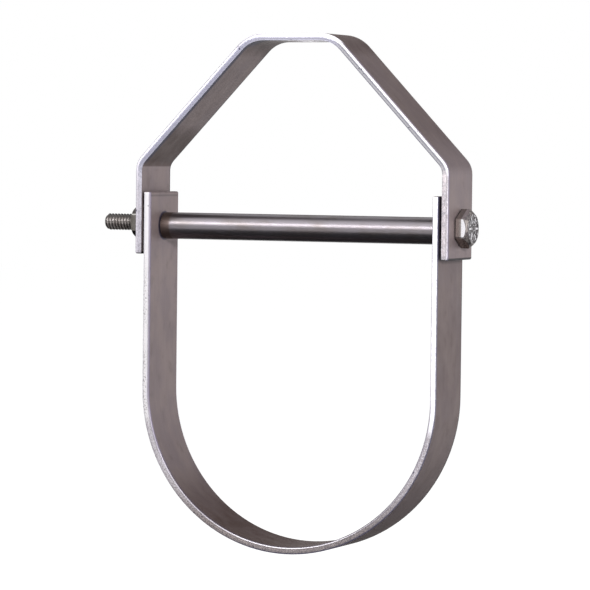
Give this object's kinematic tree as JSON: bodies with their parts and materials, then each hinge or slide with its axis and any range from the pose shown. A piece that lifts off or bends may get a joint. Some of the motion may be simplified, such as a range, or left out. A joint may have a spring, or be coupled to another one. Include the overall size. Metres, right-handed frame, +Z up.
{
  "type": "clevis hanger",
  "caption": "Pipe hanger: a bent strip yoke with a rod hole in its crown, and a U strap that swings on a cross bolt under it, kept open by a tube on the bolt.",
  "frame": {"origin": "centre of the rod hole, on the underside of the yoke's crown", "axes": "+X along the cross bolt from its nut to its head, +Y along the pipe, +Z up along the hanger rod"},
  "size_m": [0.1512, 0.0254, 0.196],
  "materials": {
    "yoke_strip": "dull electroplated steel strip with bright sheared edges",
    "strap_strip": "dull electroplated steel strip with bright sheared edges",
    "bolt_steel": "plated bolt, satin",
    "nut_steel": "plated nut, satin",
    "sleeve_steel": "bright drawn tube, smooth"
  },
  "bodies": {
    "yoke": {"upper_yoke": "yoke_strip"},
    "strap": {"lower_strap": "strap_strip"},
    "bolt": {"cross_bolt": "bolt_steel"},
    "nut": {"hex_nut": "nut_steel"},
    "sleeve": {"spacer_sleeve": "sleeve_steel"}
  },
  "joints": [
    {"name": "strap_swing", "type": "hinge", "parent": "yoke", "child": "strap", "pos_m": [0, 0, -0.0696], "axis": [1, 0, 0], "range_deg": [-122, 122]},
    {"name": "bolt_turn", "type": "hinge", "parent": "yoke", "child": "bolt", "pos_m": [0, 0, -0.0696], "axis": [1, 0, 0], "range_deg": [0, 3240]},
    {"name": "nut_travel", "type": "slide", "parent": "yoke", "child": "nut", "axis": [-1, 0, 0], "range_m": [0, 0.01144]},
    {"name": "sleeve_spin", "type": "hinge", "parent": "yoke", "child": "sleeve", "pos_m": [0, 0, -0.07068], "axis": [1, 0, 0], "continuous": true}
  ],
  "couplings": [
    {"joint": "nut_travel", "follows": "bolt_turn", "m_per_rad": 0.00020213}
  ]
}
